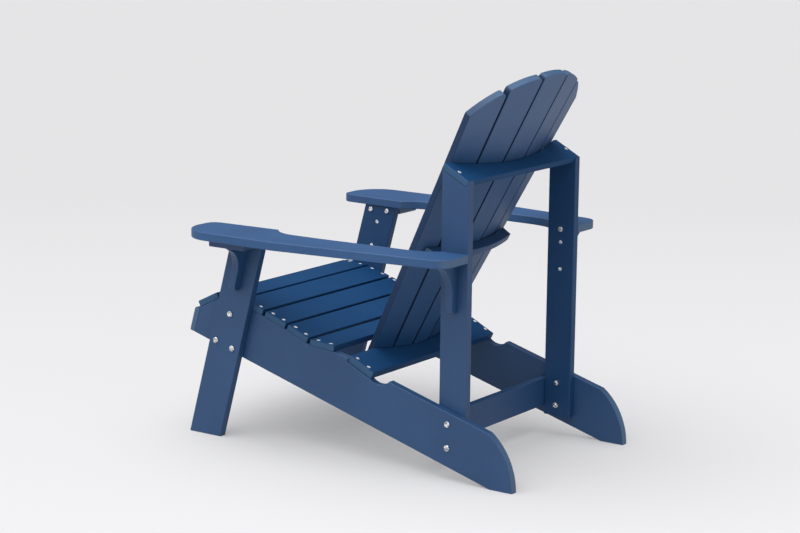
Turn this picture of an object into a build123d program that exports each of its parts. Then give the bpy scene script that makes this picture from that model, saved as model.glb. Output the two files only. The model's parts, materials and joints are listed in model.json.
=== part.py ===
from build123d import *
import math
import os

os.makedirs("parts", exist_ok=True)

# Adirondack chair. Millimetres, X across the chair, +Y to the rear, +Z up, floor at Z = 0.
# The sitter faces -Y, so the left-hand pieces are on the +X side.

# Boards
board = 20.0            # legs, posts, arms, cleats, brackets, stringers, stretcher
rail_thick = 18.0       # lower back rail
shelf_thick = 16.0      # upper shelf
brace_thick = 19.0      # middle brace
back_thick = 19.0       # back slats
seat_thick = 15.0       # seat slats and apron
ease = 2.0              # rounding of the board edges

# Widths over the frame
half_width = 264.0      # outer faces of the stringers
stringer_x = half_width - board
post_x = stringer_x - board

# Stringers: two parallel edges falling to the rear, and a rounded tail on the floor
slope = 0.285
foot_front = 410.3
toe_y = -456.7
nose_height = 68.0
tail_corner = (404.9, 131.0)
tail_mid = (453.7, 73.5)
heel_y = 471.3
seat_profile = [(-379.3, 341.9), (-311.5, 336.8), (-241.3, 315.3), (-174.0, 292.3),
                (-101.5, 263.4), (-29.8, 257.2)]
seat_widths = [65.0, 66.0, 66.0, 64.5, 64.5, 71.0]
seat_offsets = [0.3, 0.6, 3.0, 3.3, 3.0, 0.5]

# Front legs lean to the rear, rear posts are upright
leg_front = -456.9
leg_depth = 96.5
leg_lean = 0.2685
post_front = 257.3
post_depth = 73.3
post_foot = 50.5
stretcher_low = 71.5
stretcher_high = 141.0

# Arms and the cleats below them
arm_top = 530.5
arm_under = arm_top - board
cleat_under = arm_under - board
cleat_front = -330.0
cleat_rear = -225.4
cleat_width = 76.0

# Back: five tapered slats fanned from one point far below, their rear faces on a shallow cone
recline = 28.491
fan_point = (0.0, -688.694, -1096.735)
half_angle_1 = 1.291
angle_2 = 2.576
angle_3 = 2.323
turn_1 = 9.215
turn_2 = 4.47
back_gap = 6.0
back_foot = 1499.0
back_crown = 2299.0
crown_radius = 305.0
crown_corner = 10.0
outer_corner = 4.0

# Apron over the front ends of the stringers
apron_height = 61.0

# Rails behind the back: rear top edge, tilt and the hollow front edge of each
shelf_rear = (0.0, 329.9, 697.9)
shelf_end_depth = 76.8
shelf_tilt = 28.12
shelf_hollow = (721.4, 684.0)
rail_rear = (0.0, 83.7, 223.2)
rail_tilt = 26.5
rail_depth = 74.0
rail_half_length = 261.0
rail_hollow = (553.7, 505.7)
brace_front = (0.0, 180.9, 508.8)
brace_half_length = 167.0
brace_heel = 9.0
brace_hollow = (602.2, 605.4)

# Fasteners: radii, lengths under the head, clearance of the holes, and under the shelf
bolt_head = 7.5
bolt_shank = 4.0
bolt_length = 46.0
nut_width = 13.0
lag_head = 6.5
lag_shank = 3.4
lag_length = 60.0
screw_head = 4.4
screw_sunk = 2.0
screw_shank = 2.2
screw_short = 34.0
screw_back = 38.0
screw_long = 45.0
slack = 0.15
joint_gap = 0.05

# Screws over the stringers and posts, and up the back slats from the fan point
seat_screw_x = 253.0
rail_screw_x = 252.0
shelf_screw_x = 234.0
rail_up = 1519.0
brace_screw_up = 1816.5
shelf_up = 2055.5

DOWN = (Align.CENTER, Align.CENTER, Align.MAX)
LEFT = (1, 0, 0)
RIGHT = (-1, 0, 0)


def save(solid, name):
    solid.label = name
    export_step(solid, "parts/" + name + ".step")


def mirrored(solid):
    return mirror(solid, about=Plane.YZ)


def save_pair(solid, name):
    save(solid, name + "_left")
    save(mirrored(solid), name + "_right")


def drill(points, outward, radius, depth):
    for point in points:
        with Locations(Plane(origin=point, z_dir=outward)):
            Cylinder(radius, depth, align=DOWN, mode=Mode.SUBTRACT)


def sink(points, outward, depth):
    drill(points, outward, screw_shank + slack, depth)
    drill(points, outward, screw_head + slack, screw_sunk + slack)


# Rounds the edges round a face that lie beyond x and below z and aren't too short
def ease_outline(face, x=-half_width, z=2 * arm_top, shortest=0):
    edges = [edge for edge in face.outer_wire().edges() if edge.length > shortest]
    fillet([edge for edge in edges if edge.center().X > x and edge.center().Z < z], ease)


def both_sides(points):
    return points + [(-x, y, z) for x, y, z in points]


def placed(fastener, points, outward):
    return [fastener.moved(Plane(origin=point, z_dir=outward).location) for point in points]


def save_group(solids, name):
    save(Compound(label=name, children=solids), name)


# Directions that several pieces share
run = math.cos(math.atan(slope))
fall = math.sin(math.atan(slope))
toe = (toe_y, slope * (foot_front - toe_y))
nose = (toe[0] + nose_height * fall, toe[1] + nose_height * run)
lean_run = math.cos(math.atan(leg_lean))
lean_rise = math.sin(math.atan(leg_lean))
back_sin = math.sin(math.radians(recline))
back_cos = math.cos(math.radians(recline))
rail_sin = math.sin(math.radians(rail_tilt))
rail_cos = math.cos(math.radians(rail_tilt))
apron_out = (0, -run, fall)
rail_out = (0, rail_sin, rail_cos)
shelf_sin = math.sin(math.radians(shelf_tilt))
shelf_cos = math.cos(math.radians(shelf_tilt))
shelf_out = (0, shelf_sin, shelf_cos)

# Where the fasteners go, as Y and Z
leg_bolt_yz = [(-327.5, 312.7), (-371.8, 241.8), (-321.7, 227.7)]
post_bolt_yz = [(294.0, 134.4), (294.0, 78.2)]
cleat_bolt_yz = [(-302.1, 499.0), (-251.3, 499.0)]
arm_bolt_yz = [(293.0, 519.0)]
front_bracket_yz = [(-283.0, 468.0), (-299.9, 405.0)]
rear_bracket_yz = [(294.0, 486.7), (294.0, 419.8)]


def at_x(x, yz_list):
    return [(x, y, z) for y, z in yz_list]


rail_screws_yz = [(rail_rear[1] - d * rail_cos, rail_rear[2] + d * rail_sin) for d in (22.6, 58.0)]
shelf_screw_yz = [(shelf_rear[1] - 37.3 * shelf_cos, shelf_rear[2] + 37.3 * shelf_sin)]
apron_screws_yz = [(toe[0] + h * fall - seat_thick * run, toe[1] + h * run + seat_thick * fall)
                   for h in (17.0, 46.0)]

# Seat slats: each lies on one straight stretch of the stringers' seat profile
profile = [nose] + seat_profile
seat_frames = []
for start, end, width, offset in zip(profile, profile[1:], seat_widths, seat_offsets):
    length = math.dist(start, end)
    u = ((end[0] - start[0]) / length, (end[1] - start[1]) / length)
    corner = (start[0] + u[0] * offset, start[1] + u[1] * offset)
    seat_frames.append((corner, u, width))


def seat_screws_yz(frame):
    corner, u, width = frame
    return [(corner[0] + u[0] * s - u[1] * seat_thick, corner[1] + u[1] * s + u[0] * seat_thick)
            for s in (0.24 * width, 0.76 * width)]


# Back slats and their screws are laid out flat, then folded about the lines they meet on
back_plane = Plane(origin=fan_point, x_dir=(1, 0, 0), z_dir=(0, -back_cos, back_sin))
inner_angles = [-half_angle_1, half_angle_1, half_angle_1 + angle_2]
outer_angles = [half_angle_1, half_angle_1 + angle_2, half_angle_1 + angle_2 + angle_3]


def fold_axis(angle):
    a = math.radians(angle)
    return Axis(fan_point, (math.sin(a), back_sin * math.cos(a), back_cos * math.cos(a)))


def folded(solid, index):
    if index == 2:
        solid = solid.rotate(fold_axis(outer_angles[1]), -turn_2)
    if index >= 1:
        solid = solid.rotate(fold_axis(outer_angles[0]), -turn_1)
    return solid


def slat_middle(index, up, share):
    low = math.tan(math.radians(inner_angles[index]))
    high = math.tan(math.radians(outer_angles[index]))
    return up * (low + (high - low) * share)


def back_screw_spots(index):
    spots = [(slat_middle(index, up, share), up) for up in (rail_up, shelf_up) for share in (0.3, 0.7)]
    spots.append((slat_middle(index, brace_screw_up, 0.5 if index < 2 else 0.35), brace_screw_up))
    return spots


def back_pins(index, radius, length):
    with BuildPart() as pins:
        for x, up in back_screw_spots(index):
            with BuildSketch(back_plane.offset(back_thick)):
                with Locations((x, up)):
                    Circle(radius)
            extrude(amount=-length)
    return folded(pins.part, index)


hole_pins = [back_pins(i, screw_shank + slack, screw_back + slack) for i in (0, 1, 2)]
head_pins = [back_pins(i, screw_head + slack, screw_sunk + slack) for i in (0, 1, 2)]
all_pins = hole_pins + [mirrored(pins) for pins in hole_pins[1:]]

# Stringers
rail_back = (rail_rear[1] - rail_thick * rail_sin, rail_rear[2] - rail_thick * rail_cos)
rail_low = (rail_back[0] - rail_depth * rail_cos, rail_back[1] + rail_depth * rail_sin)
dip_end = (129.8, tail_corner[1] + slope * (tail_corner[0] - 129.8))
with BuildPart() as stringer:
    with BuildSketch(Plane.YZ.offset(stringer_x)):
        with BuildLine():
            Polyline((heel_y, 0), (foot_front, 0), toe, nose, *seat_profile,
                     (13.4, 248.9), (rail_low[0] - 0.3, rail_low[1]), rail_low, rail_back)
            ThreePointArc(rail_back, (103.0, 198.0), dip_end)
            Line(dip_end, tail_corner)
            ThreePointArc(tail_corner, tail_mid, (heel_y, 0))
        make_face()
    extrude(amount=board)
    ease_outline(stringer.faces().sort_by(Axis.X)[0])
    ease_outline(stringer.faces().sort_by(Axis.X)[-1])
    drill(at_x(half_width, leg_bolt_yz + post_bolt_yz), LEFT, bolt_shank + slack, board)
    for frame in seat_frames:
        drill(at_x(seat_screw_x, seat_screws_yz(frame)), (0, -frame[1][1], frame[1][0]),
              screw_shank + slack, screw_short + slack)
    drill(at_x(rail_screw_x, rail_screws_yz), rail_out, screw_shank + slack, screw_long + slack)
    drill(at_x(seat_screw_x, apron_screws_yz), apron_out, screw_shank + slack, screw_short + slack)
save_pair(stringer.part, "stringer")

# Front legs
leg_rise = arm_under * leg_lean
with BuildPart() as leg:
    with BuildSketch(Plane.YZ.offset(half_width)):
        with BuildLine():
            Polyline((leg_front, 0), (leg_front + leg_depth, 0),
                     (leg_front + leg_depth + leg_rise, arm_under),
                     (leg_front + leg_rise, arm_under), close=True)
        make_face()
    extrude(amount=board)
    fillet(leg.edges(), ease)
    drill(at_x(half_width + board, leg_bolt_yz), LEFT, bolt_shank + slack, board)
    drill(at_x(half_width, cleat_bolt_yz), RIGHT, lag_shank + slack, board)
    sink(at_x(half_width, front_bracket_yz), RIGHT, board)
save_pair(leg.part, "front_leg")

# Rear posts, cut on top to the slope of the shelf
shelf_under_y = shelf_rear[1] - (shelf_thick + joint_gap) * shelf_sin
shelf_under_z = shelf_rear[2] - (shelf_thick + joint_gap) * shelf_cos
post_rear = post_front + post_depth
slant = shelf_sin / shelf_cos
with BuildPart() as post:
    with BuildSketch(Plane.YZ.offset(post_x)):
        with BuildLine():
            Polyline((post_front, post_foot), (post_rear, post_foot),
                     (post_rear, shelf_rear[2]), (shelf_rear[1] + 2 * joint_gap, shelf_rear[2]),
                     (shelf_under_y + 2 * joint_gap, shelf_under_z),
                     (post_front, shelf_under_z + (shelf_under_y - post_front) * slant), close=True)
        make_face()
    extrude(amount=board)
    fillet([edge for edge in post.edges() if edge.length > post_x], ease)
    drill(at_x(stringer_x, post_bolt_yz), LEFT, bolt_shank + slack, board)
    drill(at_x(post_x, arm_bolt_yz), RIGHT, lag_shank + slack, board)
    sink(at_x(post_x, rear_bracket_yz), RIGHT, board)
    drill(at_x(shelf_screw_x, shelf_screw_yz), shelf_out, screw_shank + slack, screw_long + slack)
save_pair(post.part, "rear_post")

# Arms
with BuildPart() as arm:
    with BuildSketch(Plane.XY.offset(arm_under)) as outline:
        with BuildLine():
            Polyline((stringer_x, post_front), (stringer_x, post_rear), (341.0, post_rear),
                     (395.5, -117.8), (396.0, -398.0), (264.5, -395.0), (255.0, -201.0))
            ThreePointArc((255.0, -201.0), (278.0, -174.5), (288.5, -135.0))
            Spline((288.5, -135.0), (285.5, -26.0), (281.3, 43.4), (276.0, 137.5),
                   (264.0, 228.0), (stringer_x, post_front))
        make_face()
        for corner, radius in (((341.0, post_rear), 40.0), ((396.0, -398.0), 80.0), ((264.5, -395.0), 28.0)):
            fillet(outline.vertices().sort_by_distance(corner)[0], radius)
    extrude(amount=board)
    ease_outline(arm.faces().sort_by(Axis.Z)[0], stringer_x + 1)
    ease_outline(arm.faces().sort_by(Axis.Z)[-1], stringer_x + 1)
    drill(at_x(stringer_x, arm_bolt_yz), RIGHT, lag_shank + slack, lag_length - board + slack)
save_pair(arm.part, "arm")

# Cleats under the arms, on the outside of the legs
with BuildPart() as cleat:
    with BuildSketch(Plane.XY.offset(cleat_under)):
        with BuildLine():
            Polyline((half_width + board, cleat_front), (half_width + board + cleat_width, cleat_front),
                     (half_width + board + cleat_width, cleat_rear),
                     (half_width + board, cleat_rear), close=True)
        make_face()
    extrude(amount=board)
    fillet(cleat.edges(), ease)
    drill(at_x(half_width + board, cleat_bolt_yz), RIGHT, lag_shank + slack, lag_length - board + slack)
save_pair(cleat.part, "arm_cleat")


# Curved brackets: one shape, leaning with the front leg and upright on the rear post
def bracket(origin, up, top, screw_points):
    plane = Plane(origin=origin, x_dir=(1, 0, 0), z_dir=(0, -up[2], up[1]))
    with BuildPart() as piece:
        with BuildSketch(plane):
            with BuildLine():
                Polyline((0, -117.0), (0, 6.0), (70.0, 6.0), (70.0, -2.7))
                ThreePointArc((70.0, -2.7), (36.1, -30.0), (24.0, -70.0))
                Line((24.0, -70.0), (24.0, -101.0))
                ThreePointArc((24.0, -101.0), (19.3, -112.3), (8.0, -117.0))
                Line((8.0, -117.0), (0, -117.0))
            make_face()
        extrude(amount=board / 2, both=True)
        split(bisect_by=Plane.XY.offset(top), keep=Keep.BOTTOM)
        for side in (0, -1):
            sides = piece.faces().sort_by(SortBy.AREA)[-2:].sort_by(Axis.Y)
            ease_outline(sides[side], origin[0] + 1, top - 1, 3 * ease)
        drill(screw_points, RIGHT, screw_shank + slack, screw_short - board + slack)
    return piece.part


leg_middle = leg_front + leg_depth / 2 + leg_lean * cleat_under
front_bracket = bracket((half_width + board, leg_middle, cleat_under), (0, lean_rise, lean_run),
                        cleat_under, at_x(half_width + board, front_bracket_yz))
rear_bracket = bracket((stringer_x, post_front + post_depth / 2, arm_under), (0, 0, 1),
                       arm_under, at_x(stringer_x, rear_bracket_yz))
save_pair(front_bracket, "front_bracket")
save_pair(rear_bracket, "rear_bracket")


# Boards behind the back, each with a hollow front edge that the slats bear on
def hollow_board(rear, tilt, half_length, depth, hollow, thick):
    t = math.radians(tilt)
    centre, radius = hollow
    reach = math.sqrt(radius ** 2 - (centre - depth) ** 2)
    with BuildPart() as piece:
        with BuildSketch(Plane(origin=rear, x_dir=(1, 0, 0), z_dir=(0, -math.sin(t), -math.cos(t)))):
            with BuildLine():
                Polyline((-reach, depth), (-half_length, depth), (-half_length, 0),
                         (half_length, 0), (half_length, depth), (reach, depth))
                ThreePointArc((reach, depth), (0, centre - radius), (-reach, depth))
            make_face()
        extrude(amount=thick)
        fillet(piece.edges(), ease)
    return piece.part


shelf_blank = hollow_board(shelf_rear, shelf_tilt, stringer_x, shelf_end_depth, shelf_hollow, shelf_thick)
with BuildPart() as shelf:
    add(shelf_blank)
    sink(both_sides(at_x(shelf_screw_x, shelf_screw_yz)), shelf_out, shelf_thick)
    add(all_pins, mode=Mode.SUBTRACT)
save(shelf.part, "upper_back_shelf")

rail_blank = hollow_board(rail_rear, rail_tilt, rail_half_length, rail_depth, rail_hollow, rail_thick)
with BuildPart() as rail:
    add(rail_blank)
    sink(both_sides(at_x(rail_screw_x, rail_screws_yz)), rail_out, rail_thick)
    add(all_pins, mode=Mode.SUBTRACT)
save(rail.part, "lower_back_rail")

brace_centre, brace_radius = brace_hollow
brace_end = brace_centre - math.sqrt(brace_radius ** 2 - brace_half_length ** 2)
with BuildPart() as brace:
    with BuildSketch(Plane(origin=brace_front, x_dir=(1, 0, 0), z_dir=(0, -shelf_sin, -shelf_cos))):
        with BuildLine():
            ThreePointArc((-brace_half_length, brace_end), (0, brace_centre - brace_radius),
                          (brace_half_length, brace_end))
            Line((brace_half_length, brace_end), (brace_half_length - 4, -brace_heel))
            ThreePointArc((brace_half_length - 4, -brace_heel), (0, -29.0),
                          (4 - brace_half_length, -brace_heel))
            Line((4 - brace_half_length, -brace_heel), (-brace_half_length, brace_end))
        make_face()
    extrude(amount=brace_thick)
    fillet(brace.edges(), ease)
    add(all_pins, mode=Mode.SUBTRACT)
save(brace.part, "middle_back_brace")

# Stretcher between the stringers, just in front of the rear posts
stretcher_rear = post_front - joint_gap
with BuildPart() as stretcher:
    with BuildSketch(Plane.YZ.offset(-stringer_x)):
        with BuildLine():
            Polyline((stretcher_rear - board, stretcher_low), (stretcher_rear, stretcher_low),
                     (stretcher_rear, stretcher_high), (stretcher_rear - board, stretcher_high), close=True)
        make_face()
    extrude(amount=2 * stringer_x)
    fillet(stretcher.edges(), ease)
save(stretcher.part, "rear_stretcher")

# Apron across the front ends of the stringers
with BuildPart() as apron:
    with BuildSketch(Plane.YZ.offset(-half_width)):
        with BuildLine():
            Polyline(toe, (toe[0] + apron_height * fall, toe[1] + apron_height * run),
                     (toe[0] + apron_height * fall - seat_thick * run,
                      toe[1] + apron_height * run + seat_thick * fall),
                     (toe[0] - seat_thick * run, toe[1] + seat_thick * fall), close=True)
        make_face()
    extrude(amount=2 * half_width)
    fillet(apron.edges(), ease)
    sink(both_sides(at_x(seat_screw_x, apron_screws_yz)), apron_out, seat_thick)
save(apron.part, "front_apron")

# Seat slats
for number, frame in enumerate(seat_frames, start=1):
    corner, u, width = frame
    up = (-u[1] * seat_thick, u[0] * seat_thick)
    far = (corner[0] + u[0] * width, corner[1] + u[1] * width)
    with BuildPart() as seat_slat:
        with BuildSketch(Plane.YZ.offset(-half_width)):
            with BuildLine():
                Polyline(corner, far, (far[0] + up[0], far[1] + up[1]),
                         (corner[0] + up[0], corner[1] + up[1]), close=True)
            make_face()
        extrude(amount=2 * half_width)
        fillet(seat_slat.edges(), ease)
        sink(both_sides(at_x(seat_screw_x, seat_screws_yz(frame))), (0, -u[1], u[0]), seat_thick)
    save(seat_slat.part, "seat_slat_" + str(number))


# Back slats
def crown_point(slope_out, shift):
    middle = back_crown - crown_radius
    a = 1 + slope_out ** 2
    b = middle - slope_out * shift
    up = (b + math.sqrt(b * b - a * (shift ** 2 + middle ** 2 - crown_radius ** 2))) / a
    return (up * slope_out + shift, up)


def back_slat(index):
    left = math.tan(math.radians(inner_angles[index]))
    right = math.tan(math.radians(outer_angles[index]))
    left_gap = back_gap / 2
    right_gap = 0 if index == 2 else -back_gap / 2
    start = crown_point(left, left_gap)
    end = crown_point(right, right_gap)
    top_x = (start[0] + end[0]) / 2
    top = (top_x, back_crown - crown_radius + math.sqrt(crown_radius ** 2 - top_x ** 2))
    with BuildPart() as slat:
        with BuildSketch(back_plane) as face:
            with BuildLine():
                Polyline(start, (back_foot * left + left_gap, back_foot),
                         (back_foot * right + right_gap, back_foot), end)
                ThreePointArc(end, top, start)
            make_face()
            top_corners = face.vertices().sort_by(Axis.Y)[-2:].sort_by(Axis.X)
            fillet(top_corners[0], crown_corner)
            top_corners = face.vertices().sort_by(Axis.Y)[-4:].sort_by(Axis.X)
            fillet(top_corners[-1], outer_corner if index == 2 else crown_corner)
        extrude(amount=back_thick)
        fillet(slat.edges(), ease)
    return slat.part


for index, names in enumerate([("3",), ("2", "4"), ("1", "5")]):
    with BuildPart() as back_piece:
        add(folded(back_slat(index), index))
        add([hole_pins[index], head_pins[index]], mode=Mode.SUBTRACT)
    save(back_piece.part, "back_slat_" + names[0])
    if index > 0:
        save(mirrored(back_piece.part), "back_slat_" + names[1])


# Fasteners, each drawn with its head above the origin and its shank below
with BuildPart() as bolt:
    Cylinder(bolt_head, 3.0, align=(Align.CENTER, Align.CENTER, Align.MIN))
    fillet(bolt.faces().sort_by(Axis.Z)[-1].edges(), 1.6)
    Cylinder(bolt_shank, bolt_length, align=DOWN)
    with BuildSketch(Plane.XY.offset(3.0)):
        RegularPolygon(2.9, 6)
    extrude(amount=-2.2, mode=Mode.SUBTRACT)

with BuildPart() as nut:
    with BuildSketch():
        RegularPolygon(nut_width / 2, 6, major_radius=False)
    extrude(amount=6.0)
    Cylinder(5.4, 9.5, align=(Align.CENTER, Align.CENTER, Align.MIN))
    fillet(nut.faces().sort_by(Axis.Z)[-1].edges(), 3.0)
    Cylinder(bolt_shank + slack, 6.5, align=(Align.CENTER, Align.CENTER, Align.MIN), mode=Mode.SUBTRACT)

with BuildPart() as lag:
    Cylinder(lag_head, 3.0, align=(Align.CENTER, Align.CENTER, Align.MIN))
    fillet(lag.faces().sort_by(Axis.Z)[-1].edges(), 1.4)
    Cylinder(lag_shank, lag_length - 5.0, align=DOWN)
    with Locations((0, 0, 5.0 - lag_length)):
        Cone(0.4, lag_shank, 5.0, align=DOWN)
    with BuildSketch(Plane.XY.offset(3.0)):
        RegularPolygon(2.5, 6)
    extrude(amount=-2.2, mode=Mode.SUBTRACT)


def wood_screw(length):
    with BuildPart() as screw:
        Cylinder(screw_head, screw_sunk, align=DOWN)
        Cylinder(screw_shank, length - 4.0, align=DOWN)
        with Locations((0, 0, 4.0 - length)):
            Cone(0.3, screw_shank, 4.0, align=DOWN)
        with BuildSketch():
            Rectangle(2.6, 2.6)
        extrude(amount=-1.4, mode=Mode.SUBTRACT)
    return screw.part


def both(solids):
    return solids + [mirrored(solid) for solid in solids]


short = wood_screw(screw_short)
long = wood_screw(screw_long)
save_group(both(placed(bolt.part, at_x(half_width + board, leg_bolt_yz), LEFT)), "leg_bolts")
save_group(both(placed(nut.part, at_x(stringer_x, leg_bolt_yz), RIGHT)), "leg_bolt_nuts")
save_group(both(placed(bolt.part, at_x(half_width, post_bolt_yz), LEFT)), "post_bolts")
save_group(both(placed(nut.part, at_x(post_x, post_bolt_yz), RIGHT)), "post_bolt_nuts")
save_group(both(placed(lag.part, at_x(half_width, cleat_bolt_yz), RIGHT)), "cleat_bolts")
save_group(both(placed(lag.part, at_x(post_x, arm_bolt_yz), RIGHT)), "arm_bolts")
save_group(both(placed(short, at_x(half_width, front_bracket_yz), RIGHT)), "front_bracket_screws")
save_group(both(placed(short, at_x(post_x, rear_bracket_yz), RIGHT)), "rear_bracket_screws")
save_group(both(placed(short, at_x(seat_screw_x, apron_screws_yz), apron_out)), "apron_screws")
save_group(both(placed(long, at_x(rail_screw_x, rail_screws_yz), rail_out)), "rail_screws")
save_group(both(placed(long, at_x(shelf_screw_x, shelf_screw_yz), shelf_out)), "shelf_screws")

seat_screws = []
for frame in seat_frames:
    spots = at_x(seat_screw_x, seat_screws_yz(frame))
    seat_screws += both(placed(short, spots, (0, -frame[1][1], frame[1][0])))
save_group(seat_screws, "seat_screws")

back_screws = []
back_front = back_plane.offset(back_thick)
for index in (0, 1, 2):
    spots = [back_front.from_local_coords((x, up, 0)) for x, up in back_screw_spots(index)]
    own = [folded(solid, index) for solid in placed(wood_screw(screw_back), spots, back_front.z_dir)]
    back_screws += both(own) if index > 0 else own
save_group(back_screws, "back_slat_screws")
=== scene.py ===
import json
import math
import bpy
from mathutils import Euler, Matrix, Vector


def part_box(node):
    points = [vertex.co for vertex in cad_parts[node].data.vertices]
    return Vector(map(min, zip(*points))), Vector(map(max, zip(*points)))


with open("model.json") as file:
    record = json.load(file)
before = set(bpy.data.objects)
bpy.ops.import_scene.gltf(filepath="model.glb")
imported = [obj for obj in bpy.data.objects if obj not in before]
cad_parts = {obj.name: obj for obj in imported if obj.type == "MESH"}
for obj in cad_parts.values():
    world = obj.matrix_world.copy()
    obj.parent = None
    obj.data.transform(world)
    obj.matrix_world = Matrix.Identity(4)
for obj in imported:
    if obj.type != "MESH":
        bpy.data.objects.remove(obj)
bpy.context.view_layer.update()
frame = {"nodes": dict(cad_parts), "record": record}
nodes = frame["nodes"]
scene = bpy.context.scene
scene.view_settings.view_transform = "Standard"

# Colours of the boards
NAVY = (0.006, 0.047, 0.135, 1)
NAVY_LIGHT = (0.010, 0.056, 0.152, 1)
NAVY_DARK = (0.004, 0.038, 0.112, 1)
SAWN_END = (0.040, 0.088, 0.155, 1)
# Painted shade: a dark colour on the back slats' side faces, where they stand in shade between
# the slats
SIDE_FACE_SHADE = (0.002, 0.016, 0.050, 1)
# Painted sheen: a lighter, greyer colour on the back slats' rear faces that stands for their
# reflection
PAINTED_SHEEN = (0.044, 0.086, 0.178, 1)

# Colours of the fasteners, dark and light
BOLTS = (0.22, 0.24, 0.27, 1), (0.88, 0.88, 0.87, 1)
SCREWS = (0.45, 0.47, 0.50, 1), (0.95, 0.95, 0.94, 1)

# Fineness of the noise, the shifts that make each board's different, and the relief it gives
GRAIN_ACROSS = 260.0
GRAIN_ALONG = 7.0
SPECKLE = 420.0
CLOUDS = 5.0
BLOTCHES = 260.0
SEED_STEP = 3.1
SEED_SHIFT = (1.0, 1.7, 0.6)
BUMP_STRENGTH = 0.12
BUMP_DEPTH = 0.0004

# Ramps: where each begins and ends, and its value there
STREAKS = (0.35, 0.65, 0.0, 1.0)
PATCHES = (0.35, 0.7, 0.0, 0.6)
SAWN = (0.5, 0.8, 0.0, 0.7)
# Painted shade on the back slats' side faces
SIDE_SHADE_RAMP = (0.5, 0.85, 0.0, 0.8)
# Painted sheen on the back slats' rear faces: more of it high up, less near the shelf, where
# painted shade falls
SHEEN_ON_REAR_FACES = (0.0, 0.5, 0.0, 1.0)
SHEEN_HIGH_UP = (0.32, 0.85, 0.0, 1.0)
SHEEN_DIMMED_NEAR_SHELF = (0.0, 0.11, 0.2, 1.0)
BLOTCHED = (0.40, 0.58, 0.0, 1.0)
BOARD_ROUGHNESS = (0.3, 0.7, 0.50, 0.62)
STEEL_ROUGHNESS = (0.3, 0.7, 0.22, 0.36)
# Painted shade: the floor's colour darkens away from the camera
FLOOR_PAINTED_FALLOFF = (-1.2, 3.5, 0.0, 1.0)
WALLS_TO_CEILING = (0.12, 0.42, 1.4, 0.25)
SIDE_TO_SIDE = (-0.8, 0.8, 0.2, 1.2)
OVERHEAD = (0.5, 0.95, 0.0, 3.7)

# The back: its lean, the way its rear faces look, and the height at which the shelf meets it
RECLINE = math.radians(28.5)
BACK_OUTWARD = (0.0, 0.88, -0.48)
SHELF_HEIGHT = 0.705

# Each kind of board's specular level, and the share of the colours above that it has. The share
# is painted light and shade: higher on the arms and back slats, which catch more light, and lower
# on the seat, shelf, rail and far uprights, which stand more in shade.
USUAL = (0.5, 0.88)
ARM = (0.5, 1.12)
SEAT = (0.08, 0.8)
SHELF_AND_RAIL = (0.1, 0.88)
BACK_SLAT = (0.3, 1.05)
FAR_UPRIGHT = (0.25, 0.8)

# Floor, a little darker away from the camera, a painted shade that stands for light falling off;
# its faint glow is painted light that lifts its shadows
FLOOR_SIZE = 60
FLOOR_NEAR = (0.35, 0.35, 0.35, 1)
FLOOR_FAR = (0.277, 0.277, 0.277, 1)
FLOOR_GLOW = 0.27
GLOW_TINT = (0.99, 0.99, 1.0, 1)
AWAY = (-0.82, -0.57, 0.0)

# Studio: pale walls, brighter on one side, a darker ceiling, and a broad light overhead
BRIGHT_SIDE = (0.65, 0.75, 0.0)
KEY_FROM = (0.25, -0.15, 0.95)
STUDIO_TINT = (0.985, 0.98, 1.0, 1)

# Camera: behind the chair and to the sitter's left
CAMERA_PLACE = (4.4243, 3.0468, 1.4967)
AZIMUTH = math.radians(124.775)
ELEVATION = math.radians(11.281)
ROLL = math.radians(0.618)
LENS = 101.402
SENSOR = 36.0
CLIP_END = 200.0


# Node helpers
def add_node(tree, kind, **values):
    node = tree.nodes.new(kind)
    for name, value in values.items():
        node.inputs[name].default_value = value
    return node


def ramp(tree, value, low, high, low_value, high_value, smooth=False):
    node = add_node(tree, "ShaderNodeMapRange", **{
        "From Min": low, "From Max": high, "To Min": low_value, "To Max": high_value})
    if smooth:
        node.interpolation_type = "SMOOTHSTEP"
    tree.links.new(value, node.inputs["Value"])
    return node.outputs[0]


def calculate(tree, operation, *values):
    node = tree.nodes.new("ShaderNodeMath")
    node.operation = operation
    for socket, value in zip(node.inputs, values):
        if isinstance(value, float):
            socket.default_value = value
        else:
            tree.links.new(value, socket)
    return node.outputs[0]


def dot_with(tree, vector, direction):
    node = tree.nodes.new("ShaderNodeVectorMath")
    node.operation = "DOT_PRODUCT"
    node.inputs[1].default_value = direction
    tree.links.new(vector, node.inputs[0])
    return node.outputs["Value"]


def facing_along(tree, normal, direction):
    """How squarely a face looks along a direction, either way."""
    return calculate(tree, "ABSOLUTE", dot_with(tree, normal, direction))


def height_of(tree, vector):
    node = tree.nodes.new("ShaderNodeSeparateXYZ")
    tree.links.new(vector, node.inputs[0])
    return node.outputs["Z"]


def noise(tree, vector, **values):
    node = add_node(tree, "ShaderNodeTexNoise", **values)
    tree.links.new(vector, node.inputs["Vector"])
    return node.outputs["Fac"]


def mapped(tree, vector, **values):
    node = add_node(tree, "ShaderNodeMapping", **values)
    tree.links.new(vector, node.inputs["Vector"])
    return node.outputs[0]


def mix_colour(tree, factor, a, b):
    node = tree.nodes.new("ShaderNodeMix")
    node.data_type = "RGBA"
    tree.links.new(factor, node.inputs[0])
    for socket, value in ((node.inputs[6], a), (node.inputs[7], b)):
        if isinstance(value, tuple):
            socket.default_value = value
        else:
            tree.links.new(value, socket)
    return node.outputs[2]


def new_material(name):
    """A material with its node tree, shader and texture coordinates."""
    material = bpy.data.materials.new(name)
    material.use_nodes = True
    tree = material.node_tree
    coords = tree.nodes.new("ShaderNodeTexCoord").outputs
    return material, tree, tree.nodes["Principled BSDF"], coords


def scaled_for_painted_light(colour, share):
    return (colour[0] * share, colour[1] * share, colour[2] * share, 1)


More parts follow.
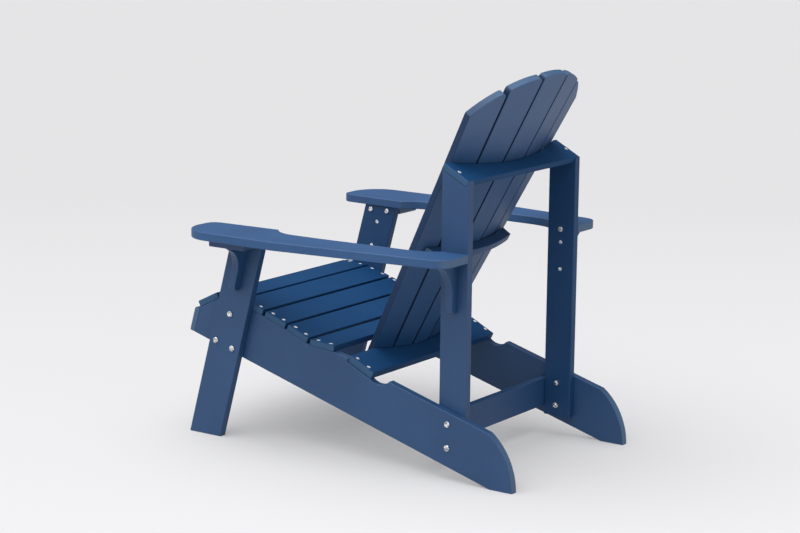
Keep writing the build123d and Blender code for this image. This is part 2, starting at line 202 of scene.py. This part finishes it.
def painted_sheen_and_side_shade(tree, coords, colour):
    """Back slats: painted sheen on the rear faces, more so high up and less near the shelf, where
    painted shade falls, and painted shade on the side faces.
    """
    height = height_of(tree, coords["Object"])
    from_shelf = calculate(tree, "ABSOLUTE", calculate(tree, "SUBTRACT", height, SHELF_HEIGHT))
    sheen_mask = ramp(tree, height, *SHEEN_HIGH_UP)
    sheen_mask = calculate(tree, "MULTIPLY", sheen_mask, ramp(tree, from_shelf, *SHEEN_DIMMED_NEAR_SHELF))
    behind = ramp(tree, dot_with(tree, coords["Normal"], BACK_OUTWARD), *SHEEN_ON_REAR_FACES)
    sheen_mask = calculate(tree, "MULTIPLY", sheen_mask, behind)
    colour = mix_colour(tree, sheen_mask, colour, PAINTED_SHEEN)
    # Painted shade on the side faces
    side_shade = ramp(tree, facing_along(tree, coords["Normal"], (1, 0, 0)), *SIDE_SHADE_RAMP)
    return mix_colour(tree, side_shade, colour, SIDE_FACE_SHADE)


def board_material(name, lean, length_axis, seed, gloss, painted_light_share):
    """Satin plastic lumber: streaks along the board, speckle, and paler sawn ends."""
    material, tree, shader, coords = new_material(name)
    turned = mapped(tree, coords["Object"], Rotation=(lean, 0, 0),
                    Location=[seed * share for share in SEED_SHIFT])
    stretch = [GRAIN_ACROSS] * 3
    stretch[length_axis] = GRAIN_ALONG
    grain = noise(tree, mapped(tree, turned, Scale=stretch), Scale=1.0, Detail=4.0, Roughness=0.6)
    speckle = noise(tree, turned, Scale=SPECKLE, Detail=2.0, Roughness=0.5)
    cloud = noise(tree, turned, Scale=CLOUDS, Detail=2.0)

    streaks = ramp(tree, grain, *STREAKS)
    # The colours are scaled by the board's share of painted light and shade
    colour = mix_colour(tree, streaks, scaled_for_painted_light(NAVY_DARK, painted_light_share), scaled_for_painted_light(NAVY, painted_light_share))
    patches = ramp(tree, cloud, *PATCHES)
    colour = mix_colour(tree, patches, colour, scaled_for_painted_light(NAVY_LIGHT, painted_light_share))
    along_board = Vector([float(axis == length_axis) for axis in range(3)])
    along_board = Euler((-lean, 0, 0)).to_matrix() @ along_board
    sawn = ramp(tree, facing_along(tree, coords["Normal"], along_board), *SAWN)
    colour = mix_colour(tree, sawn, colour, SAWN_END)
    # Back slats get painted sheen and painted shade
    if lean:
        colour = painted_sheen_and_side_shade(tree, coords, colour)
    tree.links.new(colour, shader.inputs["Base Color"])

    shader.inputs["Specular IOR Level"].default_value = gloss
    tree.links.new(ramp(tree, grain, *BOARD_ROUGHNESS), shader.inputs["Roughness"])
    bump = add_node(tree, "ShaderNodeBump", Strength=BUMP_STRENGTH, Distance=BUMP_DEPTH)
    tree.links.new(calculate(tree, "ADD", grain, speckle), bump.inputs["Height"])
    tree.links.new(bump.outputs[0], shader.inputs["Normal"])
    return material


def steel_material(name, metallic, dark, light):
    """Fastener metal, blotched so that small heads don't look flat."""
    material, tree, shader, coords = new_material(name)
    shader.inputs["Metallic"].default_value = metallic
    blotches = noise(tree, coords["Object"], Scale=BLOTCHES, Detail=2.0)
    colour = mix_colour(tree, ramp(tree, blotches, *BLOTCHED), dark, light)
    tree.links.new(colour, shader.inputs["Base Color"])
    tree.links.new(ramp(tree, blotches, *STEEL_ROUGHNESS), shader.inputs["Roughness"])
    return material


def look_of(name):
    if name.startswith("seat"):
        return SEAT
    if name in ("upper_back_shelf", "lower_back_rail"):
        return SHELF_AND_RAIL
    if name in ("arm_left", "arm_right"):
        return ARM
    if name.startswith("back_slat"):
        return BACK_SLAT
    if name in ("rear_post_right", "front_leg_right"):
        return FAR_UPRIGHT
    return USUAL


# Every piece stays the CAD's own mesh and gets a material
bolt_steel = steel_material("stainless", 1.0, *BOLTS)
screw_steel = steel_material("bright_screws", 0.35, *SCREWS)
slots = {row["node"]: row["material_slot"] for row in frame["record"]["subparts"]}
for number, (name, node) in enumerate(sorted(nodes.items())):
    if slots[name] == "steel_fasteners":
        chosen = screw_steel if name.endswith("screws") else bolt_steel
    else:
        low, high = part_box(name)
        size = high - low
        longest = max(range(3), key=lambda axis: size[axis])
        # Specular level, and the share of painted light and shade for this kind of board
        gloss, painted_light_share = look_of(name)
        lean = RECLINE if name.startswith("back_slat") else 0
        chosen = board_material("lumber_" + name, lean, longest, SEED_STEP * number, gloss, painted_light_share)
    node.data.materials.clear()
    node.data.materials.append(chosen)

# Floor
bpy.ops.mesh.primitive_plane_add(size=FLOOR_SIZE)
floor = bpy.context.object
floor.name = "floor"
paper, tree, shader, coords = new_material("pale_floor")
shader.inputs["Roughness"].default_value = 0.9
shader.inputs["Specular IOR Level"].default_value = 0.1
# Painted light: a faint glow that lifts the floor's shadows
shader.inputs["Emission Color"].default_value = GLOW_TINT
shader.inputs["Emission Strength"].default_value = FLOOR_GLOW
# Painted shade: darker away from the camera
painted_falloff = ramp(tree, dot_with(tree, coords["Object"], AWAY), *FLOOR_PAINTED_FALLOFF)
tree.links.new(mix_colour(tree, painted_falloff, FLOOR_NEAR, FLOOR_FAR), shader.inputs["Base Color"])
floor.data.materials.append(paper)

# Soft studio light, from all round
world = bpy.data.worlds.new("studio")
world.use_nodes = True
tree = world.node_tree
direction = tree.nodes.new("ShaderNodeTexCoord").outputs["Generated"]
ring = ramp(tree, height_of(tree, direction), *WALLS_TO_CEILING)
toward_side = dot_with(tree, direction, Vector(BRIGHT_SIDE).normalized())
walls = calculate(tree, "MULTIPLY", ring, ramp(tree, toward_side, *SIDE_TO_SIDE))
toward_key = dot_with(tree, direction, Vector(KEY_FROM).normalized())
key = ramp(tree, toward_key, *OVERHEAD, smooth=True)
background = tree.nodes["Background"]
background.inputs["Color"].default_value = STUDIO_TINT
tree.links.new(calculate(tree, "ADD", walls, key), background.inputs["Strength"])
scene.world = world

# Camera
level = math.cos(ELEVATION)
back = Vector((math.sin(AZIMUTH) * level, -math.cos(AZIMUTH) * level, math.sin(ELEVATION)))
right = Vector((math.cos(AZIMUTH), math.sin(AZIMUTH), 0))
up = back.cross(right)
rolled_right = right * math.cos(ROLL) + up * math.sin(ROLL)
rolled_up = up * math.cos(ROLL) - right * math.sin(ROLL)
camera_data = bpy.data.cameras.new("camera")
camera_data.sensor_width = SENSOR
camera_data.lens = LENS
camera_data.clip_end = CLIP_END
camera = bpy.data.objects.new("camera", camera_data)
turn = Matrix((rolled_right, rolled_up, back)).transposed().to_4x4()
camera.matrix_world = Matrix.Translation(CAMERA_PLACE) @ turn
scene.collection.objects.link(camera)
scene.camera = camera
